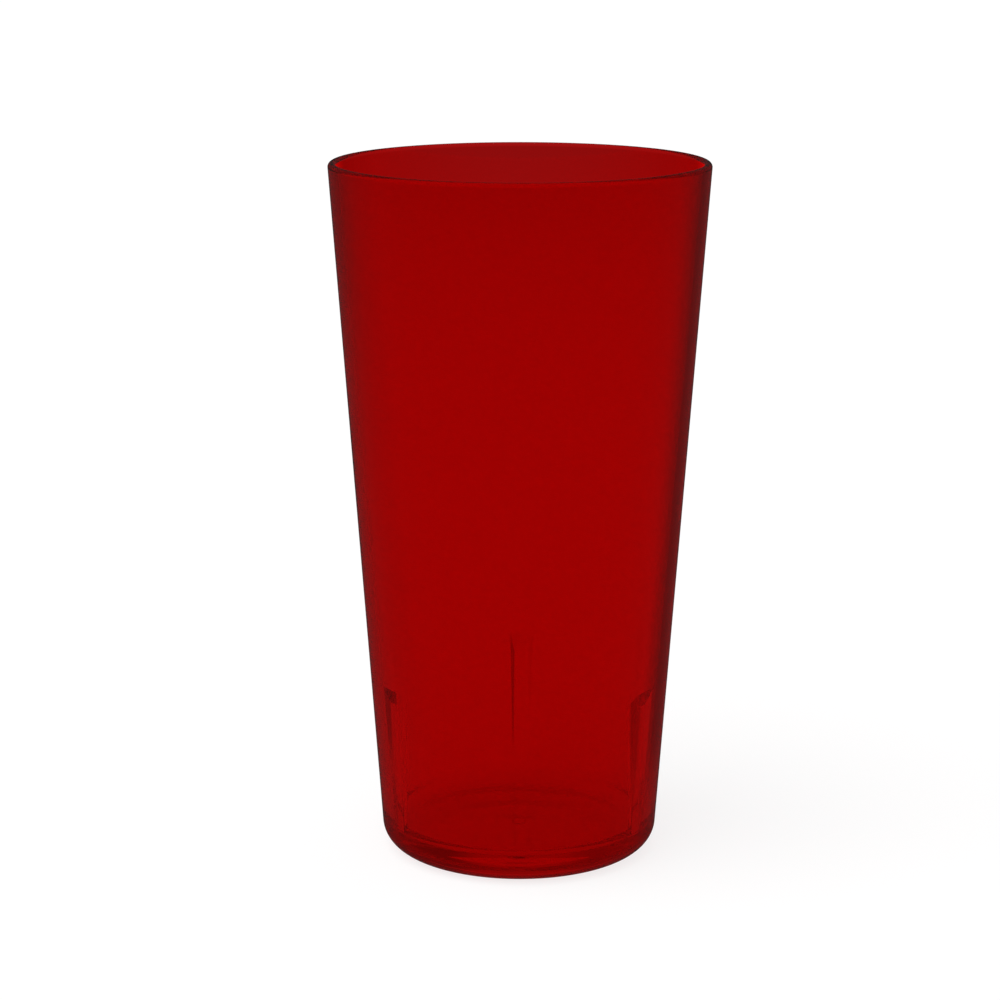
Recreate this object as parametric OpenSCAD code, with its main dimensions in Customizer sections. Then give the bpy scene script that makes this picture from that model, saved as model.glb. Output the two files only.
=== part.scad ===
// Stacking tumbler, moulded in one piece: a straight tapered cup with a full round rim,
// a rounded heel, a thick floor on a ring foot, and ribs inside that carry the next cup.
// Millimetres. The origin is the middle of the foot's face, +Z is up, one rib is at +Y.

/* [Cup] */
// Height from the foot to the top of the rim
height = 159; // [130:1:185]
// Outside diameter at the rim
rim_d = 85.6; // [80:0.2:94]
// Lean of the outside wall from upright, in degrees
draft = 4.13; // [3.7:0.01:4.8]
// Wall thickness at the rim
wall_rim = 2; // [1.6:0.05:2.3]
// Wall thickness just above the floor
wall_base = 2.4; // [2:0.05:2.8]

/* [Base] */
// Radius of the rounded heel between the wall and the foot
heel_r = 6; // [4:0.25:7.5]
// Height of the inside floor above the foot's face
floor_z = 6.2; // [5:0.1:9]
// Radius of the rounded corner between the inside floor and the wall
floor_corner_r = 3.5; // [1.5:0.25:6]
// Width of the flat ring that the cup stands on
foot_w = 2.4; // [1.5:0.1:4]
// Height of the shallow cone that is hollowed out inside that ring
hollow_h = 0.8; // [0.6:0.1:1.2]
// Diameter of the gate mark in the middle of the hollow
gate_d = 3.2; // [2:0.1:6]
// Height of the gate mark
gate_h = 0.35; // [0.2:0.05:0.4]

/* [Stacking ribs] */
// Number of ribs around the inside
rib_n = 3; // [3:1:6]
// Direction of the first rib from +X, in degrees
rib_start = 90; // [0:5:120]
// Width of a rib's face
rib_w = 3.4; // [2.6:0.1:5]
// How far a rib stands out from the wall at its ledge
rib_depth = 3.1; // [2.8:0.1:3.6]
// Lean of a rib's face from upright, in degrees
rib_draft = 0.4; // [0.2:0.1:1]
// Lean of a rib's two sides, in degrees
rib_lean = 20; // [8:1:30]
// Radius of a rib's two long edges
rib_edge_r = 0.9; // [0.4:0.1:1.2]
// Slope of the ledge on top of a rib, down towards the middle, in degrees
ledge_slope = 50; // [44:1:56]
// Radius of the ledge's lower corner
ledge_corner_r = 0.8; // [0.4:0.1:1.2]
// Least gap between the walls of two stacked cups
stack_gap = 0.3; // [0.1:0.05:0.6]

/* [Hidden] */
$fn = 96;

// Every rounded corner is a true arc, drawn this much over size. It then crosses its two
// straight sides at a clear angle, where an arc of the exact size would only touch them.
arc_over = 0.005;
// How deep the root of a rib is sunk in the wall and in the floor
root = 0.8;
// How far a cutting shape runs past the face it opens
past = 1;
// Ruby red, clear
ruby = [0.72, 0.02, 0.04, 0.6];

// The rim is one round that fills the wall's thickness: its radius and its centre's height
rim_r = wall_rim / 2 * cos(draft) + arc_over;
rim_z = height - rim_r;

// Outside wall, a straight line in the section plane (radius, height)
out_rise = tan(draft);
function out_r(z) = rim_d / 2 + (z - rim_z) * out_rise;

// Inside wall, a little more upright because the wall thins towards the rim
in_rise = out_rise + (wall_base - wall_rim) / (rim_z - floor_z);
in_lean = atan(in_rise);
function in_r(z) = out_r(rim_z) - wall_rim + (z - rim_z) * in_rise;

// Centres of the heel's arc and of the inside floor corner's arc
heel_c = [out_r(heel_r) - heel_r / cos(draft), heel_r];
corner_c = [
    in_r(floor_z + floor_corner_r) - floor_corner_r / cos(in_lean),
    floor_z + floor_corner_r
];

// Hollow in the foot: its radius at the foot's face, and the height of the gate mark's face
hollow_r = heel_c[0] - foot_w;
gate_z = hollow_h * (1 - gate_d / 2 / hollow_r) - gate_h;

// A stacked cup sits with its heel on the ledges. It is this much higher, so that its wall
// keeps the stated gap, and the ledge's slope meets the heel's arc where both lean alike.
stack_step = (wall_base + stack_gap) / out_rise;
seat = [
    heel_c[0] + heel_r * sin(ledge_slope),
    stack_step + heel_r * (1 - cos(ledge_slope))
];
ledge_rise = tan(ledge_slope);
function ledge_z(r) = seat[1] + (r - seat[0]) * ledge_rise;

// Heights at which the ledge's line meets the inside wall, and at which it reaches the
// depth of the root when it is carried on into the wall
ledge_top_z = ledge_z(in_r(0)) / (1 - ledge_rise * in_rise);
ledge_end_z = ledge_z(in_r(0) + root) / (1 - ledge_rise * in_rise);

// The rib's face is almost upright while the wall leans, so a rib stands out the most at
// its ledge and fades into the wall towards the floor
face_rise = tan(rib_draft);
function face_r(z) = in_r(ledge_top_z) - rib_depth + (z - ledge_top_z) * face_rise;

// How far a rib's sides run on behind its face, and half the width that they reach there
rib_back = rib_depth + 2 * root;
rib_back_y = rib_w / 2 + rib_back * tan(rib_lean);

// Centre of the ledge's lower corner, at its radius from the ledge and from the rib's face
ledge_c_z = (ledge_z(face_r(0) + ledge_corner_r / cos(rib_draft)) - ledge_corner_r / cos(ledge_slope))
    / (1 - ledge_rise * face_rise);
ledge_c = [face_r(ledge_c_z) + ledge_corner_r / cos(rib_draft), ledge_c_z];

// A disc for a rounded outer corner, cut off level at its underside
module corner_disc(centre, r) {
    intersection() {
        translate(centre) circle(r + arc_over);
        translate([0, centre[1] - r]) square([centre[0] + 2 * r, 2 * r + past]);
    }
}

// Half section of the solid form without its inside
module outside_section() {
    polygon([
        [0, 0], heel_c - [0, heel_r],
        heel_c + heel_r * [cos(draft), -sin(draft)],
        [out_r(rim_z), rim_z], [0, rim_z]
    ]);
    corner_disc(heel_c, heel_r);
    translate([out_r(rim_z) - wall_rim / 2, rim_z]) circle(rim_r);
}

// Half section of the drinking space, run on past the rim
module inside_section() {
    polygon([
        [0, floor_z], corner_c - [0, floor_corner_r],
        corner_c + floor_corner_r * [cos(in_lean), -sin(in_lean)],
        [in_r(height + past), height + past], [0, height + past]
    ]);
    corner_disc(corner_c, floor_corner_r);
}

// Half section of the hollow under the floor, with the gate mark left standing in it
module hollow_section() {
    difference() {
        polygon([[0, -past], [hollow_r * (1 + past / hollow_h), -past], [0, hollow_h]]);
        translate([0, gate_z]) square([gate_d / 2, hollow_h]);
    }
}

// Cup: rim, wall, heel, floor and foot, turned about the axis
module cup() {
    color(ruby) rotate_extrude() difference() {
        outside_section();
        inside_section();
        hollow_section();
    }
}

// A rib seen from above, with its face at x = 0 and the middle of the cup at -x. It
// reaches a hair past the face in the side view, which gives the rib its flat face.
module rib_plan() {
    face_x = -2 * arc_over;
    side_rise = tan(rib_lean);
    edge_x = face_x + rib_edge_r;
    edge_y = rib_w / 2 + edge_x * side_rise - rib_edge_r / cos(rib_lean);
    side = rib_edge_r * [-sin(rib_lean), cos(rib_lean)];
    polygon([
        [rib_back, -rib_back_y], [edge_x + side[0], -edge_y - side[1]], [face_x, -edge_y],
        [face_x, edge_y], [edge_x + side[0], edge_y + side[1]], [rib_back, rib_back_y]
    ]);
    for (s = [-1, 1]) translate([edge_x, s * edge_y]) circle(rib_edge_r + arc_over);
}

// A rib seen from the side: its back is sunk in the wall and its ledge slopes inwards
module rib_side() {
    low = floor_z - root;
    polygon([
        [face_r(low), low], [in_r(low) + root, low], [in_r(ledge_end_z) + root, ledge_end_z],
        ledge_c + ledge_corner_r * [-sin(ledge_slope), cos(ledge_slope)],
        ledge_c,
        ledge_c + ledge_corner_r * [-cos(rib_draft), sin(rib_draft)]
    ]);
    translate(ledge_c) circle(ledge_corner_r + arc_over);
}

// One stacking rib, standing on the floor against the wall, at +X
module stacking_rib() {
    color(ruby) intersection() {
        translate([face_r(0), 0, 0]) rotate([0, rib_draft, 0])
            linear_extrude(ledge_end_z + past) rib_plan();
        translate([0, rib_back_y + past, 0]) rotate([90, 0, 0])
            linear_extrude(2 * (rib_back_y + past)) rib_side();
    }
}

module tumbler() {
    cup();
    for (i = [0 : rib_n - 1]) rotate([0, 0, rib_start + i * 360 / rib_n]) stacking_rib();
}

tumbler();
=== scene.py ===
# %% [markdown]
# A clear red plastic tumbler, moulded in one piece
#
# The real thing is a stacking tumbler for a counter or a canteen. It is moulded in one
# shot from dyed clear plastic: a tapered wall with a full round rim, a rounded heel, a
# thick floor that stands on a ring foot, and three low ribs inside that keep a stack of
# tumblers from jamming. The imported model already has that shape, but its wall is cut in
# flat strips, and clear plastic shows every strip as a kink in what lies behind it. So
# this lesson models the same tumbler again with a much finer wall, puts it in the place
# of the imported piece, and then gives it its clear red plastic.

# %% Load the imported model
import math
import bpy
import bmesh
from mathutils import Euler, Matrix


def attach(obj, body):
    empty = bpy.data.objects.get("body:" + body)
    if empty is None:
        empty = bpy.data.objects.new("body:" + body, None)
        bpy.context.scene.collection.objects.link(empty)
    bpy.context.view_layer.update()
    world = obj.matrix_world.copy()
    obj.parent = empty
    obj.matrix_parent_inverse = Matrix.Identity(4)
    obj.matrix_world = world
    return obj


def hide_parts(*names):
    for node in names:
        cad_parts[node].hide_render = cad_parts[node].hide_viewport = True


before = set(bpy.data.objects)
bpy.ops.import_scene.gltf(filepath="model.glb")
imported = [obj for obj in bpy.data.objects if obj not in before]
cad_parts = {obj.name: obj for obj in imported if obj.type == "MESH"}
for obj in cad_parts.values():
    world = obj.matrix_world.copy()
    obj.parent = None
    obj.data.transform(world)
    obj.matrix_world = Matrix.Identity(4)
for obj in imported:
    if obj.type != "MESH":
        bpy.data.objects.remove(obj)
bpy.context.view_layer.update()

bpy.ops.object.select_all(action="DESELECT")


# %% [markdown]
# The sizes
#
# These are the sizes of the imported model, in metres. A tumbler's wall leans out a few
# degrees so that it leaves the mould and so that tumblers nest. The inside wall leans a
# little less than the outside one, because the wall gets thinner towards the rim.

# %% Sizes of the cup
mm = 0.001
height = 159 * mm
rim_d = 85.57 * mm
draft = math.radians(4.13)
wall_rim = 2.0 * mm
wall_base = 2.4 * mm
heel_r = 6.0 * mm
floor_z = 6.2 * mm
floor_corner_r = 3.5 * mm
foot_w = 2.4 * mm
hollow_h = 0.8 * mm
gate_d = 3.2 * mm
gate_h = 0.35 * mm

rim_z = height - wall_rim / 2 * math.cos(draft)
out_rise = math.tan(draft)
in_rise = out_rise + (wall_base - wall_rim) / (rim_z - floor_z)
in_lean = math.atan(in_rise)


def out_r(z):
    return rim_d / 2 + (z - rim_z) * out_rise


def in_r(z):
    return out_r(rim_z) - wall_rim + (z - rim_z) * in_rise


print("outside radius at the foot and the rim:", round(out_r(0), 5), round(out_r(height), 5))
print("inside radius at the floor and the rim:", round(in_r(floor_z), 5), round(in_r(height), 5))


# %% [markdown]
# The cup
#
# It could be spun from a drawn section, or carved from a solid cone as a turner would.
# The second way is chosen, because each step is one tool: a cone, an inset that marks
# the wall, an extrusion down to the floor, another that hollows the foot, and then a
# bevel for each rounded edge. The wall has many sides, because clear plastic shows
# each one.

# %% Helpers that pick rings and discs by their place
wall_sides = 288
near = 0.02 * mm


def edit_mesh():
    return bmesh.from_edit_mesh(bpy.context.edit_object.data)


def show_picked(mesh):
    mesh.select_flush_mode()
    bmesh.update_edit_mesh(bpy.context.edit_object.data)


def pick_edges(wanted):
    """Select the edges whose two ends pass a test, and say how many there are."""
    bpy.ops.mesh.select_mode(type="EDGE")
    bpy.ops.mesh.select_all(action="DESELECT")
    mesh = edit_mesh()
    for edge in mesh.edges:
        edge.select = wanted(*(v.co for v in edge.verts))
    found = sum(edge.select for edge in mesh.edges)
    show_picked(mesh)
    return found


def pick_ring(r, z):
    """Select the ring of edges at this radius and height."""
    def on_ring(p):
        return abs(p.xy.length - r) < near and abs(p.z - z) < near
    return pick_edges(lambda a, b: on_ring(a) and on_ring(b))


def pick_disc(z):
    """Select the one big face that lies level at this height."""
    bpy.ops.mesh.select_mode(type="FACE")
    bpy.ops.mesh.select_all(action="DESELECT")
    mesh = edit_mesh()
    for face in mesh.faces:
        level = all(abs(v.co.z - z) < near for v in face.verts)
        face.select = level and len(face.verts) == wall_sides
    show_picked(mesh)


# %% Helpers that shape what is picked
def inset_to(r_old, r_new):
    """Inset the picked disc from one radius to a smaller one."""
    bpy.ops.mesh.inset(thickness=(r_old - r_new) * math.cos(math.pi / wall_sides))


def push(dz, r_old, r_new):
    """Extrude the picked disc up or down and bring it to its new radius."""
    bpy.ops.mesh.extrude_region_move(TRANSFORM_OT_translate={"value": (0, 0, dz)})
    s = r_new / r_old
    bpy.ops.transform.resize(value=(s, s, 1), center_override=(0, 0, 0))


def round_picked(reach, steps):
    """Round the picked edges; reach is how far the round goes along each face."""
    bpy.ops.mesh.bevel(
        offset=reach, segments=steps, profile=0.5, affect="EDGES", clamp_overlap=False,
    )


def round_ring(r, z, reach, steps):
    found = pick_ring(r, z)
    round_picked(reach, steps)
    print("rounded", found, "edges at", round(r / mm, 2), "mm radius,", round(z / mm, 2), "mm up")


# %% The solid cone
bpy.ops.mesh.primitive_cone_add(
    vertices=wall_sides, radius1=out_r(0), radius2=out_r(height), depth=height,
    location=(0, 0, height / 2), end_fill_type="NGON",
)
tumbler = bpy.context.active_object
tumbler.name = tumbler.data.name = "red_tumbler"
bpy.ops.object.transform_apply(location=True, rotation=True, scale=True)
print("cone:", [round(d, 5) for d in tumbler.dimensions])

# %% The drinking space
bpy.ops.object.mode_set(mode="EDIT")
pick_disc(height)
inset_to(out_r(height), in_r(height))
push(floor_z - height, in_r(height), in_r(floor_z))
print("floor at", floor_z / mm, "mm, radius", round(in_r(floor_z) / mm, 2), "mm")

# %% The hollow under the floor, a very flat cone with the gate mark in its middle
heel_reach = heel_r * math.tan((math.pi / 2 - draft) / 2)
foot_r = out_r(0) - heel_reach
hollow_r = foot_r - foot_w
gate_r = gate_d / 2
gate_tip_r = gate_r - gate_h / 2
gate_z = hollow_h * (1 - gate_r / hollow_r)
pick_disc(0)
inset_to(out_r(0), hollow_r)
push(gate_z, hollow_r, gate_r)
push(-gate_h, gate_r, gate_tip_r)
print("the foot is flat from radius", round(hollow_r / mm, 2), "to", round(foot_r / mm, 2), "mm")

# %% The rounded edges of the rim, the heel, the floor's corner and the foot
# The rim's two rounds meet in the middle of its top; a hair less keeps them apart.
hair = 0.9998
outer_turn = (math.pi / 2 + draft) / 2
inner_turn = (math.pi / 2 - in_lean) / 2
rim_width = out_r(height) - in_r(height)
rim_round = hair * rim_width / (math.tan(outer_turn) + math.tan(inner_turn))
ring_edge = 0.5 * mm
gate_edge = 0.1 * mm
rim_steps, heel_steps, corner_steps, ring_steps, gate_steps = 10, 24, 16, 4, 3
round_ring(out_r(height), height, rim_round * math.tan(outer_turn), rim_steps)
round_ring(in_r(height), height, rim_round * math.tan(inner_turn), rim_steps)
round_ring(out_r(0), 0, heel_reach, heel_steps)
round_ring(in_r(floor_z), floor_z, floor_corner_r * math.tan(inner_turn), corner_steps)
round_ring(hollow_r, 0, ring_edge, ring_steps)
round_ring(gate_r, gate_z, gate_edge, gate_steps)
round_ring(gate_tip_r, gate_z - gate_h, gate_edge, gate_steps)

# %% Merge what the rounds left double
same_place = 0.002 * mm
bpy.ops.mesh.select_mode(type="VERT")
bpy.ops.mesh.select_all(action="SELECT")
bpy.ops.mesh.remove_doubles(threshold=same_place)
bpy.ops.object.mode_set(mode="OBJECT")
print("cup:", len(tumbler.data.polygons), "faces")

# %% [markdown]
# The stacking ribs
#
# Three ribs stand inside against the wall. The next tumbler of a stack sits with its
# heel on their sloped ledges, so that the walls never wedge and the stack comes apart
# with one hand. A rib's face is almost upright while the wall leans, so the rib stands
# out the most at its ledge and fades into the wall at the floor. One rib is made from a
# block whose corners are brought to their places, its edges are rounded, it is copied
# for its three places, and the copies are joined to the cup. A boolean is the right
# tool for that: the tumbler is one moulding, and clear plastic would show a rib that
# only touches the wall.

# %% Sizes of a rib
rib_count = 3
rib_start = math.radians(90)
rib_w = 3.4 * mm
rib_depth = 3.1 * mm
rib_draft = math.radians(0.4)
rib_lean = math.radians(20)
rib_edge_r = 0.9 * mm
ledge_slope = math.radians(50)
stack_gap = 0.3 * mm
root = 0.8 * mm

# %% Where the ledge lies
# A stacked tumbler is this much higher, and its heel, an arc, touches the ledge where
# both lean alike.
stack_step = (wall_base + stack_gap) / out_rise
seat_r = foot_r + heel_r * math.sin(ledge_slope)
seat_z = stack_step + heel_r * (1 - math.cos(ledge_slope))


def ledge_meets(r_foot, rise):
    """Height at which the ledge crosses a line with this radius at z = 0 and this rise."""
    slope = math.tan(ledge_slope)
    return (seat_z + (r_foot - seat_r) * slope) / (1 - slope * rise)


ledge_top_z = ledge_meets(in_r(0), in_rise)
face_rise = math.tan(rib_draft)


def face_r(z):
    return in_r(ledge_top_z) - rib_depth + (z - ledge_top_z) * face_rise


print("a stacked tumbler sits", round(stack_step / mm, 1), "mm higher")
print("ledge up to", round(ledge_top_z / mm, 1), "mm; rib depth at the floor",
      round((in_r(floor_z) - face_r(floor_z)) / mm, 2), "mm")

# %% One rib, from a block
bpy.ops.object.select_all(action="DESELECT")
bpy.ops.mesh.primitive_cube_add(size=1)
rib = bpy.context.active_object
rib.name = rib.data.name = "rib"
bpy.ops.object.mode_set(mode="EDIT")
mesh = edit_mesh()
low = floor_z - root
for v in mesh.verts:
    inner, top = v.co.x < 0, v.co.z > 0
    if inner:
        z = ledge_meets(face_r(0), face_rise) if top else low
        r = face_r(z)
    else:
        z = ledge_meets(in_r(0) + root, in_rise) if top else low
        r = in_r(z) + root
    half = rib_w / 2 + (r - face_r(z)) * math.tan(rib_lean)
    v.co = (r, math.copysign(half, v.co.y), z)
bmesh.update_edit_mesh(rib.data)


# %% Round the face's two long edges and the edge of the ledge
def on_face(p):
    return abs(p.x - face_r(p.z)) < near


def shows(a, b):
    upright = abs(a.y - b.y) < near
    at_ledge = min(a.z, b.z) > floor_z
    return on_face(a) and on_face(b) and (upright or at_ledge)


rib_steps = 8
print("rounded", pick_edges(shows), "edges of the rib")
round_picked(rib_edge_r * math.tan((math.pi / 2 - rib_lean) / 2), rib_steps)
bpy.ops.object.mode_set(mode="OBJECT")

# %% Copies at their places, joined to the cup
for i in range(rib_count):
    bpy.ops.object.select_all(action="DESELECT")
    rib.select_set(True)
    bpy.context.view_layer.objects.active = rib
    bpy.ops.object.duplicate()
    one = bpy.context.active_object
    one.rotation_euler.z = rib_start + i * 2 * math.pi / rib_count
    bpy.ops.object.transform_apply(location=True, rotation=True, scale=True)
    bpy.ops.object.select_all(action="DESELECT")
    tumbler.select_set(True)
    bpy.context.view_layer.objects.active = tumbler
    join = tumbler.modifiers.new("join", "BOOLEAN")
    join.operation = "UNION"
    join.solver = "EXACT"
    join.object = one
    bpy.ops.object.modifier_apply(modifier=join.name)
    bpy.data.objects.remove(one)
bpy.data.objects.remove(rib)
print("cup with ribs:", len(tumbler.data.polygons), "faces")

# %% [markdown]
# Smooth shading that stays true
#
# The wall is one smooth cone, so it is shaded smooth, and only the edges of the ribs,
# the ledges and the foot stay crisp. Smooth shading mixes the directions of
# neighbouring faces, and beside a tight round it tips the whole wall by a degree or
# two. A painted cup would not show that, but in a clear wall it traps light and turns
# the outline black. Weighted normals give the large faces the say, and the wall's
# direction is right again.

# %% Shade smooth, with the large faces in charge
crisp_from = math.radians(28)
bpy.ops.object.shade_smooth_by_angle(angle=crisp_from)
steady = tumbler.modifiers.new("steady", "WEIGHTED_NORMAL")
steady.keep_sharp = True
steady.weight = 100
bpy.ops.object.modifier_apply(modifier=steady.name)
print("shaded:", tumbler.name, "with crisp edges from", round(math.degrees(crisp_from)), "degrees")


# %% [markdown]
# The clear red plastic
#
# The real plastic is polished, glass clear and dyed through. Its dye is steep: a
# fraction of a millimetre takes all green and blue away, and then nothing more happens
# to the red that is left. That is why one wall and two walls behind each other look
# equally deep in the photograph. So the plastic has a volume that absorbs green and
# blue at once and red hardly at all, and its first surface, the one that the eye meets,
# takes the share that makes the red deep. The later surfaces take nothing. Towards the
# outline that share is made deeper still, as painted shade that gives the dark outline.
# The surface isn't flat either: mould polish leaves it very slightly wavy, washing
# leaves hazy patches, and the ring that it stands on is scuffed.

# %% Helpers for nodes
def add_node(tree, kind, **settings):
    node = tree.nodes.new("ShaderNode" + kind)
    for name, value in settings.items():
        setattr(node, name, value)
    return node


def put(tree, value, socket):
    """Link an output to a socket, or store a plain value in it."""
    if isinstance(value, bpy.types.NodeSocket):
        tree.links.new(value, socket)
    else:
        socket.default_value = value


def feed(tree, node, **inputs):
    """Fill a node's sockets by name."""
    for name, value in inputs.items():
        put(tree, value, node.inputs[name.replace("_", " ")])
    return node


def maths(tree, operation, a, b):
    node = add_node(tree, "Math", operation=operation)
    put(tree, a, node.inputs[0])
    put(tree, b, node.inputs[1])
    return node.outputs[0]


def ramp(tree, value, start, end, low, high):
    """A smooth step from low to high while the value goes from start to end."""
    node = add_node(tree, "MapRange", interpolation_type="SMOOTHSTEP")
    feed(tree, node, Value=value, From_Min=start, From_Max=end, To_Min=low, To_Max=high)
    return node.outputs["Result"]


def grey(level):
    return (level, level, level, 1.0)


# %% The plastic's body: clear, and dyed through
plastic = bpy.data.materials.new("dyed_clear_plastic")
plastic.use_nodes = True
tree = plastic.node_tree
shell = tree.nodes["Principled BSDF"]
plastic_ior = 1.57
glint = 0.4
shell.inputs["Transmission Weight"].default_value = 1.0
shell.inputs["IOR"].default_value = plastic_ior
shell.inputs["Specular Tint"].default_value = grey(glint)

red_per_mm = 0.001
green_blue_per_mm = 2.2
dye = add_node(tree, "VolumeAbsorption")
dye.inputs["Density"].default_value = green_blue_per_mm / mm
dye.inputs["Color"].default_value = (1 - red_per_mm / green_blue_per_mm, 0.0, 0.0, 1.0)
tree.links.new(dye.outputs["Volume"], tree.nodes["Material Output"].inputs["Volume"])
print("red left after 5 mm:", round(math.exp(-red_per_mm * 5), 3))

# %% The first surface: deep red, with painted shade towards the outline
# The shader takes the square root of its colour at each pass, so shares are squared.
first_share = 0.33
# Painted shade: towards the outline the first surface lets still less red through.
outline_shade = 0.8
outline_starts, outline_full = 0.5, 0.74
facing = add_node(tree, "LayerWeight")
facing.inputs["Blend"].default_value = 0.5
outline = ramp(tree, facing.outputs["Facing"], outline_starts, outline_full, 0.0, 1.0)
depth = add_node(tree, "Mix", data_type="RGBA")
depth.inputs["A"].default_value = grey(first_share ** 2)
depth.inputs["B"].default_value = grey((first_share * outline_shade) ** 2)
tree.links.new(outline, depth.inputs["Factor"])

light_path = add_node(tree, "LightPath")
first = add_node(tree, "Mix", data_type="RGBA")
first.inputs["A"].default_value = grey(1.0)
tree.links.new(light_path.outputs["Is Camera Ray"], first.inputs["Factor"])
tree.links.new(depth.outputs["Result"], first.inputs["B"])
tree.links.new(first.outputs["Result"], shell.inputs["Base Color"])
print("red let through by the first surface:", first_share)

# %% The finish: slightly wavy, hazy in patches, scuffed on the foot
# Roughness of clean and of hazy polish, and what the lightest and deepest scuffs add
clean, hazy = 0.012, 0.045
light_scuff, deep_scuff = 0.03, 0.2
# Patterns to the metre: hazy patches, scuffs and waves
patch_scale, scuff_scale, wave_scale = 55.0, 900.0, 38.0
scuff_low, scuff_high = 0.05 * mm, 0.35 * mm
wave_height = 0.02 * mm

place = add_node(tree, "TexCoord").outputs["Object"]
patches = feed(tree, add_node(tree, "TexNoise"), Vector=place, Scale=patch_scale, Detail=3.0)
fine = feed(tree, add_node(tree, "TexNoise"), Vector=place, Scale=scuff_scale, Detail=4.0)
haze = ramp(tree, patches.outputs["Fac"], 0.35, 0.7, clean, hazy)
parts = feed(tree, add_node(tree, "SeparateXYZ"), Vector=place)
on_foot = ramp(tree, parts.outputs["Z"], scuff_low, scuff_high, 1.0, 0.0)
scuffs = ramp(tree, fine.outputs["Fac"], 0.4, 0.62, light_scuff, deep_scuff)
roughness = maths(tree, "ADD", haze, maths(tree, "MULTIPLY", on_foot, scuffs))
tree.links.new(roughness, shell.inputs["Roughness"])

waves = feed(tree, add_node(tree, "TexNoise"), Vector=place, Scale=wave_scale, Detail=1.0)
wavy = feed(tree, add_node(tree, "Bump"), Height=waves.outputs["Fac"], Distance=wave_height)
wavy.inputs["Strength"].default_value = 0.5
tree.links.new(wavy.outputs["Normal"], shell.inputs["Normal"])
print("roughness:", clean, "to", hazy, "and up to", round(hazy + deep_scuff, 3), "on the foot")

# %% Put it on the tumbler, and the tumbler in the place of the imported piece
tumbler.data.materials.clear()
tumbler.data.materials.append(plastic)
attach(tumbler, "root")
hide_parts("tumbler")
print("materials:", [m.name for m in tumbler.data.materials])

# %% [markdown]
# The studio
#
# The photograph is a plain product shot: white all round, no shadow to speak of, light
# that comes from behind through the tumbler and a little more of it from the left. A
# clear thing has no brightness of its own; it shows what stands around it. So the
# studio is a pale floor under an even white sky. What the plastic sees of it is set
# apart from what the camera sees: straight behind it is bright, far off it gets a
# little dimmer, and two soft dark cards are set at the sides, the stronger one on the
# right. No card stands there: in the sky they dim its light, and on the floor they and
# the dimming far off are painted shade. Cards like these are how clear things get their
# dark outline, and they also bring out the sides of the ribs. Mirrored in the polished
# plastic, the studio is kept very dim, because the photograph shows no white glints.

# %% What the plastic sees of the studio
far_dim = 0.22
dim_starts, dim_full = 0.35, 1.8
mirrored = 0.03
cards = (
    # towards, where it starts and is full, how dark, from which distance on the floor
    ((0.643, 0.766, 0.0), (0.857, 0.966), 0.5, (0.04, 0.10)),
    ((-0.766, 0.643, 0.0), (0.78, 0.94), 0.3, (0.3, 0.9)),
)


def vector_maths(tree, operation, a, b=None):
    node = add_node(tree, "VectorMath", operation=operation)
    put(tree, a, node.inputs[0])
    if b is not None:
        put(tree, b, node.inputs[1])
    return node


def card_shade(tree, where, distance=None):
    """How much the cards darken a point of the floor, as painted shade, or a direction of the
    sky's light.
    """
    level = vector_maths(tree, "MULTIPLY", where, (1.0, 1.0, 0.0)).outputs["Vector"]
    way = vector_maths(tree, "NORMALIZE", level).outputs["Vector"]
    total = 0.0
    for towards, (start, full), dark, (d0, d1) in cards:
        turn = vector_maths(tree, "DOT_PRODUCT", way, towards).outputs["Value"]
        one = ramp(tree, turn, start, full, 0.0, dark)
        if distance is not None:
            one = maths(tree, "MULTIPLY", one, ramp(tree, distance, d0, d1, 0.0, 1.0))
        total = maths(tree, "ADD", one, total)
    return total


def sight(tree):
    """The light path, and two switches: seen through the plastic, and mirrored in it."""
    light_path = add_node(tree, "LightPath")
    through = light_path.outputs["Is Transmission Ray"]
    not_through = maths(tree, "SUBTRACT", 1.0, through)
    mirror = maths(tree, "MULTIPLY", light_path.outputs["Is Glossy Ray"], not_through)
    return light_path, through, mirror


print("dark cards:", len(cards))

# %% The sky
scene = bpy.context.scene
scene.view_settings.view_transform = "Standard"
lamp_share = 0.5
world = scene.world or bpy.data.worlds.new("studio")
scene.world = world
world.use_nodes = True
sky = world.node_tree
sky.nodes.clear()
light_path, through, mirror = sight(sky)
direction = add_node(sky, "TexCoord").outputs["Generated"]
clear_of_card_shade = maths(sky, "SUBTRACT", 1.0, card_shade(sky, direction))
seen_through = maths(sky, "MULTIPLY", clear_of_card_shade, 1.0 - far_dim)
light = light_path.outputs["Is Camera Ray"]
for switch, strength in (
    (through, seen_through),
    (mirror, mirrored),
    (light_path.outputs["Is Diffuse Ray"], 1.0 - lamp_share),
):
    light = maths(sky, "ADD", light, maths(sky, "MULTIPLY", switch, strength))
glow = feed(sky, add_node(sky, "Background"), Color=grey(1.0), Strength=light)
sky.links.new(glow.outputs[0], add_node(sky, "OutputWorld").inputs["Surface"])
print("sky nodes:", len(sky.nodes))

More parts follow.
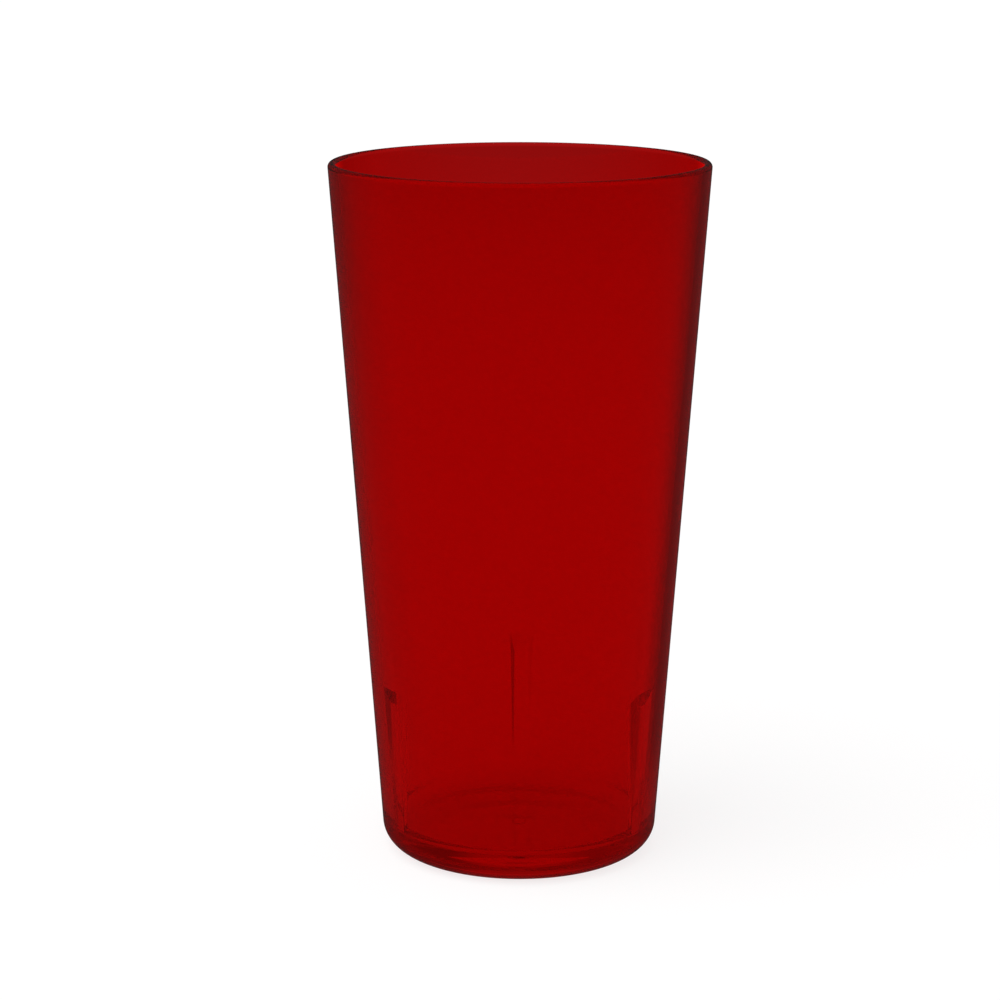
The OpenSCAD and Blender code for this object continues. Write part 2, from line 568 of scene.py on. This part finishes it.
# %% The pale floor
# It lies a hair under the foot. Most of its white is its own, so that the tumbler's
# shadow stays faint. The cards' directions are taken from a place near the right wall,
# which keeps the floor straight behind the tumbler bright.
floor_gap = 0.1 * mm
floor_radius = 6.0
own_white = 0.8
lit_white = 0.25
right_wall = 30 * mm
bpy.ops.object.select_all(action="DESELECT")
bpy.ops.mesh.primitive_circle_add(
    vertices=96, radius=floor_radius, fill_type="NGON", location=(0, 0, -floor_gap),
)
pale_floor = bpy.context.active_object
pale_floor.name = pale_floor.data.name = "pale_floor"
matt = bpy.data.materials.new("pale_floor")
matt.use_nodes = True
tree = matt.node_tree
tree.nodes.clear()
light_path, through, mirror = sight(tree)
spot = add_node(tree, "TexCoord").outputs["Object"]
distance = vector_maths(tree, "LENGTH", spot).outputs["Value"]
beside = vector_maths(tree, "SUBTRACT", spot, (right_wall, 0.0, 0.0)).outputs["Vector"]
# Painted shade: seen through the plastic, the floor is darker far off and in the cards'
# directions; no card stands there.
clear_of_card_shade = maths(tree, "SUBTRACT", 1.0, card_shade(tree, beside, distance))
far_off = ramp(tree, distance, dim_starts, dim_full, 1.0, 1.0 - far_dim)
seen_through = maths(tree, "MULTIPLY", clear_of_card_shade, far_off)
lost = maths(tree, "MULTIPLY", through, maths(tree, "SUBTRACT", 1.0, seen_through))
white = maths(tree, "SUBTRACT", 1.0, lost)

# %% The floor's shader: lit white, its own white, and a dim mirror image
lit = add_node(tree, "BsdfDiffuse")
level = maths(tree, "MULTIPLY", white, lit_white)
tint = feed(tree, add_node(tree, "CombineColor"), Red=level, Green=level, Blue=level)
tree.links.new(tint.outputs[0], lit.inputs["Color"])
visible = maths(tree, "ADD", light_path.outputs["Is Camera Ray"], through)
own_level = maths(tree, "MULTIPLY", maths(tree, "MULTIPLY", visible, white), own_white)
own = feed(tree, add_node(tree, "Emission"), Strength=own_level)
both = add_node(tree, "AddShader")
tree.links.new(lit.outputs[0], both.inputs[0])
tree.links.new(own.outputs[0], both.inputs[1])
dim = feed(tree, add_node(tree, "Emission"), Strength=mirrored)
either = add_node(tree, "MixShader")
tree.links.new(mirror, either.inputs[0])
tree.links.new(both.outputs[0], either.inputs[1])
tree.links.new(dim.outputs[0], either.inputs[2])
tree.links.new(either.outputs[0], add_node(tree, "OutputMaterial").inputs["Surface"])
pale_floor.data.materials.append(matt)
print("floor:", pale_floor.name, "radius", floor_radius, "m")

# %% The lamp: broad and soft, from the upper left
lamp_size = math.radians(60)
lamp_lean = (math.radians(20), math.radians(-25), 0)
lamp = bpy.data.lights.new("soft_lamp", "SUN")
lamp.energy = math.pi * lamp_share
lamp.angle = lamp_size
soft_lamp = bpy.data.objects.new("soft_lamp", lamp)
scene.collection.objects.link(soft_lamp)
soft_lamp.rotation_euler = Euler(lamp_lean)
soft_lamp.visible_glossy = False
soft_lamp.visible_transmission = False
print("lamp strength:", round(lamp.energy, 2))

# %% Let light run through many walls
bounces = 256
scene.cycles.max_bounces = bounces
scene.cycles.glossy_bounces = bounces
scene.cycles.transmission_bounces = bounces
print("bounces:", bounces)

# %% [markdown]
# The camera
#
# The rim is seen as a flat ellipse and the floor as a rounder one, and their heights
# give the camera's place: 0.64 m in front and 0.23 m up, looking a little down, with a
# long lens. It stands one degree to the right of the middle, which puts the rear rib
# where the photograph has it.

# %% Camera
focal_mm, sensor_mm = 102.8, 36
distance_back, height_up = 0.636, 0.2277
looks_down = math.radians(12.933)
looks_left = math.radians(0.40)
to_the_right = math.radians(1.0)
lens = bpy.data.cameras.new("camera")
lens.lens = focal_mm
lens.sensor_width = sensor_mm
camera = bpy.data.objects.new("camera", lens)
scene.collection.objects.link(camera)
scene.camera = camera
around = Matrix.Rotation(to_the_right, 4, "Z")
stand = Matrix.Translation((0, -distance_back, height_up))
look = Euler((math.pi / 2 - looks_down, 0, looks_left)).to_matrix().to_4x4()
camera.matrix_world = around @ stand @ look
print("camera at", [round(c, 3) for c in camera.matrix_world.translation])
